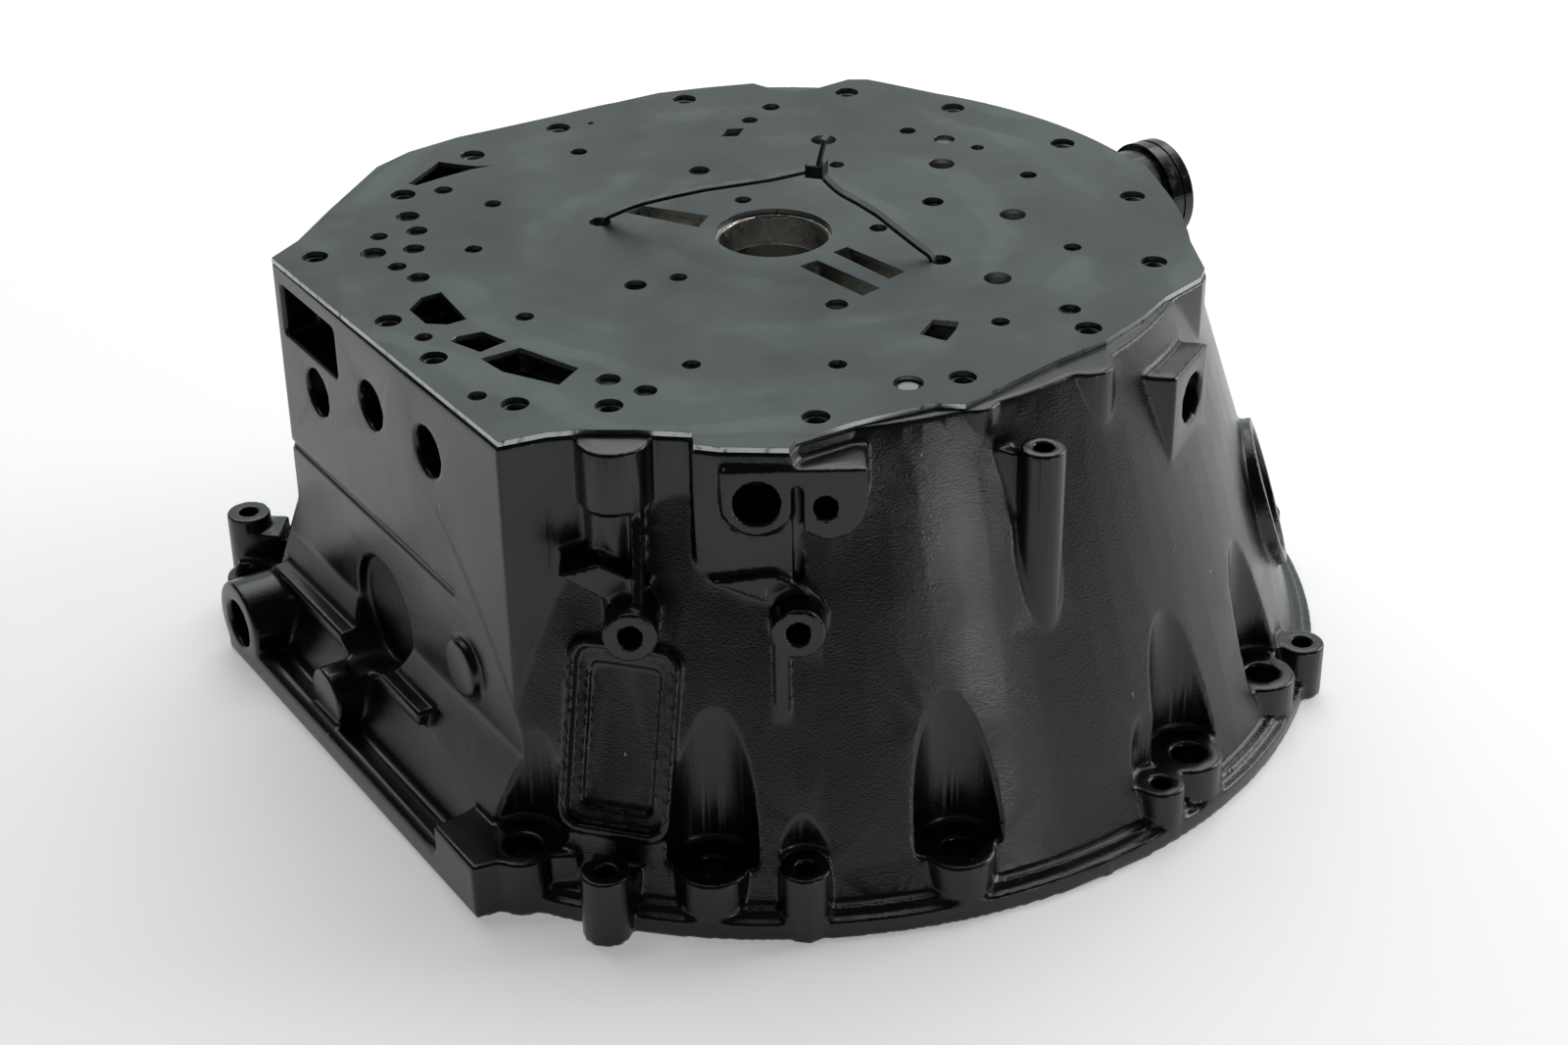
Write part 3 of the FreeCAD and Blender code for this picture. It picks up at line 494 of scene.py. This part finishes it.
@dataclass(frozen=True)
class MouldedPlastic(Finish):
    """Moulded black plastic, such as nylon or polyamide, with a faint skin texture."""

    colour: str = "#0c0e0e"
    shine: float = 0.35
    skin_mm: float = 0.5

    def dress(self, tree: bpy.types.NodeTree, shader: bpy.types.Node,
              place: bpy.types.NodeSocket) -> None:
        """Give the plastic its colour, a scuffed sheen and its skin."""
        scuff = between(tree, noise(tree, place, 6.0, 4.0, 0.6), 0.35, 0.75)
        tree.links.new(blend(tree, scuff, linear(self.colour), linear("#1d2120")),
                       shader.inputs["Base Color"])
        tree.links.new(between(tree, scuff, 0.0, 1.0, self.shine - 0.08, self.shine + 0.16),
                       shader.inputs["Roughness"])
        bump = add_node(tree, "ShaderNodeBump", inputs={
            "Strength": 0.5, "Distance": 0.02 * MM, "Height": noise(tree, place, self.skin_mm, 2.0)})
        tree.links.new(bump.outputs[0], shader.inputs["Normal"])


@dataclass(frozen=True)
class PaleFloor(Finish):
    """Matt white studio floor."""

    colour: str = "#fbfbfa"

    def dress(self, tree: bpy.types.NodeTree, shader: bpy.types.Node,
              place: bpy.types.NodeSocket) -> None:
        """Keep the floor plain, with a trace of unevenness."""
        tone = noise(tree, place, 400.0, 1.0)
        tree.links.new(blend(tree, tone, linear(self.colour), linear("#f8f8f7")),
                       shader.inputs["Base Color"])
        seen = add_node(tree, "ShaderNodeLightPath").outputs
        direct = reckon(tree, "ADD", seen["Is Camera Ray"], reckon(
            tree, "ADD", seen["Is Glossy Ray"], seen["Is Transmission Ray"]))
        shader.inputs["Emission Color"].default_value = linear("#ffffff")
        tree.links.new(reckon(tree, "MULTIPLY", direct, 0.3), shader.inputs["Emission Strength"])
        shader.inputs["Roughness"].default_value = 0.8
        shader.inputs["Specular IOR Level"].default_value = 0.2


# ---------------------------------------------------------------- casting

@dataclass
class Casting:
    """The painted bell housing, with the rounded edges and corners of a die casting."""

    voxel: float = 0.95 * MM
    triangles: int = 190000
    cone_foot: float = 205.6 * MM
    cone_top: float = 152.8 * MM
    deck: float = 164 * MM
    pan_wall: float = 163.5 * MM
    channels: tuple[tuple[float, float, float], ...] = (
        (-24, 36, 21), (11.5, -42, 18), (-1.5, -47, 20), (3.2, -102, 9), (39, 91, 8),
        (65.0, 63.7, 8), (89.4, 17.1, 8), (82.9, -37.6, 8), (44.7, -79.3, 8))

    def build(self) -> bpy.types.Object:
        """Round off a copy of the CAD solid and dress it."""
        skin = merged_copy("bell_housing", "casting_skin")
        grow = skin.modifiers.new("round_edges", "REMESH")
        grow.mode = "VOXEL"
        grow.voxel_size = self.voxel
        ease = skin.modifiers.new("ease", "SMOOTH")
        ease.factor = 0.5
        ease.iterations = 5
        apply_modifiers(skin)
        thin = skin.modifiers.new("thin_out", "DECIMATE")
        thin.ratio = min(1.0, self.triangles / (2 * len(skin.data.polygons)))
        apply_modifiers(skin)
        skin.data.polygons.foreach_set("use_smooth", np.ones(len(skin.data.polygons), bool))
        self.write_masks(skin.data)
        skin.data.materials.append(GlossPaint("gloss_black_enamel_on_die_cast_aluminium").build())
        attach(skin, BODY)
        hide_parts("bell_housing")
        return skin

    def write_masks(self, mesh: bpy.types.Mesh) -> None:
        """Work out where the paint is worn, where the metal is bare and where dust settles."""
        points, normals, edges = mesh_arrays(mesh)
        bend = self.bend(points, normals, edges)
        write_mask(mesh, "edge", ramp(bend, 0.12, 0.5))
        write_mask(mesh, "hollow", ramp(-bend, 0.05, 0.5))
        write_mask(mesh, "machined", self.machined(points, normals))
        write_mask(mesh, "bare", self.bare(points))
        write_mask(mesh, "inside", self.inside(points, normals))

    @staticmethod
    def bend(points: np.ndarray, normals: np.ndarray, edges: np.ndarray) -> np.ndarray:
        """How sharply the surface bends at each vertex: above zero on an edge, below in a corner.

        It is the mean, over a vertex's edges, of minus the edge's direction along the normal.
        """
        run = points[edges[:, 1]] - points[edges[:, 0]]
        run /= np.maximum(np.linalg.norm(run, axis=1, keepdims=True), 1e-9)
        total = np.zeros(len(points))
        count = np.zeros(len(points))
        for end, sign in ((0, 1.0), (1, -1.0)):
            fall = -(sign * run * normals[edges[:, end]]).sum(axis=1)
            np.add.at(total, edges[:, end], fall)
            np.add.at(count, edges[:, end], 1)
        return total / np.maximum(count, 1)

    @staticmethod
    def machined(points: np.ndarray, normals: np.ndarray) -> np.ndarray:
        """Level faces, and faces square to the front slide, are smooth."""
        slide = math.radians(238)
        out = np.array([math.cos(slide), math.sin(slide), 0])
        level = ramp(normals[:, 2], 0.95, 0.99)
        square = ramp(normals @ out, 0.975, 0.992)
        return np.maximum(level, square)

    def bare(self, points: np.ndarray) -> np.ndarray:
        """The bore, and the floors of the channels that were under the plate."""
        radius = np.hypot(points[:, 0], points[:, 1])
        height = points[:, 2]
        bore = (radius < 25 * MM) & (height < self.deck - 0.2 * MM) & (height > 120 * MM)
        bare = bore.astype(float)
        for x, y, reach in self.channels:
            gap = np.hypot(points[:, 0] - x * MM, points[:, 1] - y * MM)
            near = ramp(-gap, -(reach + 1.5) * MM, -reach * MM)
            bare = np.maximum(bare, near * ramp(height, 150 * MM, 152 * MM))
        return bare

    def inside(self, points: np.ndarray, normals: np.ndarray) -> np.ndarray:
        """The unpainted inner walls, and the machined engine face."""
        radius = np.hypot(points[:, 0], points[:, 1])
        wall = self.cone_foot + (self.cone_top - self.cone_foot) * points[:, 2] / self.deck
        outwards = (points[:, :2] * normals[:, :2]).sum(axis=1) / np.maximum(radius, 1e-6)
        facing_in = ramp(-outwards, 0.2, 0.5) * ramp(wall - radius, 3.5 * MM, 4.5 * MM)
        facing_in *= ramp(points[:, 0], -self.pan_wall + 2 * MM, -self.pan_wall + 4 * MM)
        facing_down = ramp(-normals[:, 2], 0.7, 0.9) * ramp(wall - radius, 3.5 * MM, 4.5 * MM)
        face = ramp(-points[:, 2], -0.8 * MM, -0.2 * MM)
        return np.maximum(face, np.maximum(facing_in, facing_down))


@dataclass
class Bore:
    """Machined ring of the centre bore, with a chamfer and fine turned grooves."""

    radius: float = 20.3 * MM
    lead: float = 1.0 * MM
    depth: float = 12 * MM
    steps: int = 128

    def build(self) -> bpy.types.Object:
        """Turn the liner as a thin closed ring that lies on the bore's wall."""
        top = DECK_TOP - 0.1 * MM
        heights = np.linspace(top - self.lead, top - self.depth, 40)
        groove = 0.06 * MM * (np.arange(40) % 2)
        inner = np.stack([self.radius - 0.12 * MM + groove, heights], axis=1)
        chamfer = np.array([[self.radius + self.lead, top]])
        outer = np.array([[self.radius + 0.3 * MM, heights[-1]],
                          [self.radius + self.lead + 0.2 * MM, top - 0.3 * MM]])
        points, faces = turned(np.concatenate([chamfer, inner, outer]), self.steps)
        finish = MachinedMetal("turned_bare_aluminium", light="#d6d4cc", dark="#8f8d86").build()
        return new_piece("bore_lining", points, faces, finish)


@dataclass
class ChannelFloors:
    """Bare machined aluminium that shows through the plate's windows and larger holes."""

    depth: float = 8.6 * MM
    sheet: float = 0.3 * MM
    seat_depth: float = 3.4 * MM
    # Outlines in millimetres, and the counterbores' angles.
    windows: tuple[tuple[tuple[float, float], ...], ...] = (
        ((-38, 48), (-21, 17.5), (-9.5, 26.5), (-26, 51)),
        ((6.5, -26), (10.5, -60), (22.5, -57.5), (17, -24.5)),
        ((-10, -29), (-5, -66), (7, -64), (1.8, -28)),
        ((-6, -99.5), (-2, -110), (0.5, -112), (9, -106), (14, -100), (6, -91)),
        ((31, 90), (39, 84), (47.5, 92.5), (39.5, 97)),
    )
    ring: float = 91.0 * MM
    seat_radius: float = 6.7 * MM
    seats: tuple[float, ...] = (44.4, 10.8, -24.4, -60.6)

    def build(self) -> bpy.types.Object:
        """Lay a thin slab on each floor and a disc in each counterbore."""
        parts = [flat_block(outline, DECK_TOP - self.depth - self.sheet, DECK_TOP - self.depth)
                 for outline in self.windows]
        turn = np.linspace(0, 2 * math.pi, 32, endpoint=False)
        for angle in np.radians(self.seats):
            middle = self.ring * np.array([math.cos(angle), math.sin(angle)])
            disc = middle + self.seat_radius * np.column_stack([np.cos(turn), np.sin(turn)])
            parts.append(flat_block((disc / MM).tolist(), DECK_TOP - self.seat_depth - self.sheet,
                                    DECK_TOP - self.seat_depth))
        points, faces = join_parts(parts)
        finish = MachinedMetal("milled_bare_aluminium", light="#e6e4dc", dark="#b3afa4",
                               metal=0.3).build()
        return new_piece("channel_floors", points, faces, finish, False)


# ---------------------------------------------------------------- separator plate

@dataclass
class SeparatorPlate:
    """Drilled steel sheet with lightly broken edges."""

    edge_break: float = 0.25 * MM

    def build(self) -> bpy.types.Object:
        """Break the edges of a copy of the CAD sheet and dress it."""
        sheet = merged_copy("separator_plate", "steel_sheet")
        shell = bmesh.new()
        shell.from_mesh(sheet.data)
        bmesh.ops.dissolve_limit(shell, angle_limit=math.radians(1), verts=shell.verts,
                                 edges=shell.edges)
        shell.to_mesh(sheet.data)
        shell.free()
        soften = sheet.modifiers.new("edge_break", "BEVEL")
        soften.width = self.edge_break
        soften.segments = 2
        soften.limit_method = "ANGLE"
        soften.angle_limit = math.radians(50)
        soften.harden_normals = False
        apply_modifiers(sheet)
        points, normals, _ = mesh_arrays(sheet.data)
        rim = ramp(np.abs(points[:, 2] - (DECK_TOP + PLATE_TOP) / 2), 0.55 * MM, 0.9 * MM)
        write_mask(sheet.data, "edge", rim * ramp(1 - np.abs(normals[:, 2]), 0.1, 0.4))
        sheet.data.polygons.foreach_set("use_smooth", np.zeros(len(sheet.data.polygons), bool))
        sheet.data.materials.append(RolledSteel("oiled_cold_rolled_steel").build())
        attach(sheet, BODY)
        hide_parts("separator_plate")
        return sheet


# ---------------------------------------------------------------- small pieces

@dataclass
class CableTie:
    """Nylon strap arched over the plate, with its lock and the cut tail."""

    # Millimetres; the routes are distance along the tie's plane and rise above the plate.
    width: float = 4.6
    thickness: float = 1.3
    bearing: float = -49.6
    offset: float = -7.5
    arch: tuple[tuple[float, float], ...] = (
        (-64.0, -14.0), (-64.0, 0.0), (-62.6, 2.4), (-54.5, 6.8), (-47.8, 10.0), (-35.0, 14.5),
        (-22.3, 18.6), (-9.3, 22.0), (3.1, 25.3), (14.3, 29.1), (18.2, 30.4), (20.8, 29.6),
        (23.5, 26.2), (28.0, 22.6), (35.7, 19.1), (42.7, 15.3), (48.6, 10.9), (57.5, 4.6),
        (62.6, 1.4), (63.6, -1.0), (63.6, -14.0))
    tail: tuple[tuple[float, float], ...] = ((19.4, 30.0), (20.6, 35.0), (22.6, 43.2))
    lock_place: tuple[float, float] = (19.2, 30.6)
    lock_size: tuple[float, float, float] = (6.6, 7.0, 5.0)

    def build(self) -> bpy.types.Object:
        """Carry the strap along its arch, then add the lock and the tail."""
        half, rise = self.width / 2, self.thickness / 2
        ribbed = [(half, -rise), (half, 0.6 * rise), (half - 0.5, rise), (0.5 - half, rise),
                  (-half, 0.6 * rise), (-half, -rise)]
        profile = np.array(ribbed)[::-1] * MM
        parts = [self.band(self.arch, 220, profile), self.band(self.tail, 24, profile)]
        parts.append(self.lock())
        points, faces = join_parts(parts)
        tie = new_piece("nylon_tie", points, faces, MouldedPlastic("moulded_black_nylon").build(),
                        False)
        soften = tie.modifiers.new("moulded_edges", "BEVEL")
        soften.width = 0.25 * MM
        soften.segments = 2
        soften.limit_method = "ANGLE"
        soften.angle_limit = math.radians(40)
        apply_modifiers(tie)
        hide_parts("cable_tie")
        return tie

    def stand(self, flat: np.ndarray) -> np.ndarray:
        """Turn (along, rise) millimetres of the tie's own plane into metres of the frame."""
        turn = math.radians(self.bearing)
        along = np.array([math.cos(turn), math.sin(turn), 0])
        up = np.array([0, 0, 1])
        plane = flat[:, :1] * along + flat[:, 1:] * up + self.side() * self.offset
        return plane * MM + up * PLATE_TOP

    def side(self) -> np.ndarray:
        """Unit vector square to the tie's plane."""
        turn = math.radians(self.bearing)
        return np.array([-math.sin(turn), math.cos(turn), 0])

    def band(self, route: Sequence[tuple[float, float]], count: int,
             profile: np.ndarray) -> tuple[np.ndarray, list[list[int]]]:
        """Strap along a route in the tie's own plane."""
        return carried(eased(self.stand(np.array(route)), count), self.side(), profile)

    def lock(self) -> tuple[np.ndarray, list[list[int]]]:
        """Square lock that the strap passes through."""
        along, deep, high = self.lock_size
        place, rise = self.lock_place
        flat = np.array([[place - along / 2, rise], [place + along / 2, rise]])
        half = deep / 2 * MM
        profile = np.array([[half, -high / 2 * MM], [half, high / 2 * MM],
                            [-half, high / 2 * MM], [-half, -high / 2 * MM]])[::-1]
        return carried(self.stand(flat), self.side(), profile)


@dataclass
class ShaftCap:
    """Round pressed-on cap with a stepped rim, a groove and a dished face."""

    steps: int = 96

    def build(self) -> bpy.types.Object:
        """Turn the cap's section about the axis of its stub."""
        low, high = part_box("shaft_cap")
        radius = (high.z - low.z) / 2 * 0.999
        length = high.x - low.x
        # Distance from the axis and along it, as shares of the radius and the length.
        section = np.array([
            (0.0, 0.80), (0.30, 0.80), (0.34, 0.86), (0.62, 0.86), (0.66, 0.80), (0.80, 0.80),
            (0.84, 0.96), (0.88, 1.0), (0.95, 1.0), (0.985, 0.97), (1.0, 0.92), (1.0, 0.62),
            (0.975, 0.60), (0.975, 0.50), (1.0, 0.48), (1.0, 0.10), (0.91, 0.10), (0.91, 0.0)])
        profile = np.stack([np.maximum(section[:, 0] * radius, 0.02 * MM),
                            low.x + section[:, 1] * length], axis=1)
        points, faces = turned(profile, self.steps)
        middle = (low + high) / 2
        turned_over = np.stack([points[:, 2], middle.y + points[:, 0], middle.z + points[:, 1]],
                               axis=1)
        finish = MouldedPlastic("moulded_gloss_polyamide", shine=0.2).build()
        cap = new_piece("end_cap", turned_over, faces, finish, False)
        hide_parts("shaft_cap")
        return cap


# ---------------------------------------------------------------- studio

@dataclass
class Studio:
    """Pale floor, soft light and the camera."""

    azimuth: float = -32.582
    elevation: float = 30.08
    roll: float = 0.884
    distance: float = 1.1068
    lens: float = 65.12
    target: Vector = field(default_factory=lambda: Vector((-0.002579, -0.008491, 0.046293)))

    def build(self) -> None:
        """Set up everything round the object."""
        self.floor()
        self.world()
        self.lamp("softbox_overhead", (0.5, 0.9, 1.9), (0.0, 0.0, 0.0), (2.4, 1.8), 26.0)
        self.lamp("softbox_right", (1.9, -0.5, 0.9), (0.0, 0.0, 0.05), (0.9, 1.3), 16.0)
        self.lamp("softbox_front", (0.27, -1.75, 0.2), (0.0, -0.15, 0.08), (0.12, 0.12), 1.6)
        self.camera()
        view = bpy.context.scene.view_settings
        view.view_transform = "Standard"

    def floor(self) -> None:
        """Lay a large round floor just under the engine face."""
        ring = np.array([0.0, 0.6, 2.0, 14.0])
        angle = np.linspace(0, 2 * math.pi, 64, endpoint=False)
        points = np.stack([ring[1:, None] * np.cos(angle), ring[1:, None] * np.sin(angle),
                           np.zeros((3, 64))], axis=-1).reshape(-1, 3)
        faces = grid_faces(3, 64, False, True).tolist()
        mesh = bpy.data.meshes.new("studio_floor")
        mesh.from_pydata(points.tolist(), [], faces + [list(range(64))])
        mesh.materials.append(PaleFloor("matt_white_floor").build())
        floor = bpy.data.objects.new("studio_floor", mesh)
        bpy.context.scene.collection.objects.link(floor)

    def world(self) -> None:
        """Light the room faintly, brighter behind the object than in front of it."""
        world = bpy.data.worlds.new("studio_room")
        world.use_nodes = True
        tree = world.node_tree
        tree.nodes.clear()
        direction = add_node(tree, "ShaderNodeTexCoord").outputs["Generated"]
        away = add_node(tree, "ShaderNodeVectorMath", {"operation": "DOT_PRODUCT"},
                        {0: direction, 1: (0.72, 0.62, 0.32)}).outputs["Value"]
        tone = between(tree, away, 0.35, 1.0)
        colour = blend(tree, tone, linear("#3a3f40"), linear("#e6efed"))
        shade = add_node(tree, "ShaderNodeBackground", inputs={"Color": colour, "Strength": 1.0})
        add_node(tree, "ShaderNodeOutputWorld", inputs={"Surface": shade.outputs[0]})
        bpy.context.scene.world = world

    @staticmethod
    def lamp(name: str, place: Sequence[float], aim: Sequence[float], size: Sequence[float],
             power: float) -> None:
        """Hang a rectangular soft light that points at aim."""
        data = bpy.data.lights.new(name, "AREA")
        data.shape = "RECTANGLE"
        data.size, data.size_y = size
        data.energy = power
        lamp = bpy.data.objects.new(name, data)
        lamp.location = place
        run = Vector(aim) - Vector(place)
        lamp.rotation_euler = run.to_track_quat("-Z", "Y").to_euler()
        bpy.context.scene.collection.objects.link(lamp)

    def camera(self) -> None:
        """Place the camera on its circle round the object, with its slight roll."""
        azimuth, elevation = math.radians(self.azimuth), math.radians(self.elevation)
        back = Vector((math.sin(azimuth) * math.cos(elevation),
                       -math.cos(azimuth) * math.cos(elevation), math.sin(elevation)))
        right = Vector((0, 0, 1)).cross(back).normalized()
        up = back.cross(right)
        turn = math.radians(self.roll)
        x_axis = right * math.cos(turn) - up * math.sin(turn)
        y_axis = right * math.sin(turn) + up * math.cos(turn)
        data = bpy.data.cameras.new("camera")
        data.lens = self.lens
        data.sensor_width = 36.0
        camera = bpy.data.objects.new("camera", data)
        place = self.target + back * self.distance
        camera.matrix_world = Matrix.Translation(place) @ Matrix(
            (x_axis, y_axis, back)).transposed().to_4x4()
        bpy.context.scene.collection.objects.link(camera)
        bpy.context.scene.camera = camera


def main() -> None:
    """Build the studio and every sub-assembly, and report each piece."""
    logging.basicConfig(level=logging.INFO, format="%(name)s: %(message)s")
    Studio().build()
    for builder in (Casting(), Bore(), ChannelFloors(), SeparatorPlate(), CableTie(), ShaftCap()):
        piece = builder.build()
        log.info("%s: %d faces", piece.name, len(piece.data.polygons))
    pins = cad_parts["locating_pins"].data.materials
    pins.clear()
    pins.append(MachinedMetal("ground_steel", light="#858a87", dark="#565a58").build())


if __name__ == "__main__":
    main()
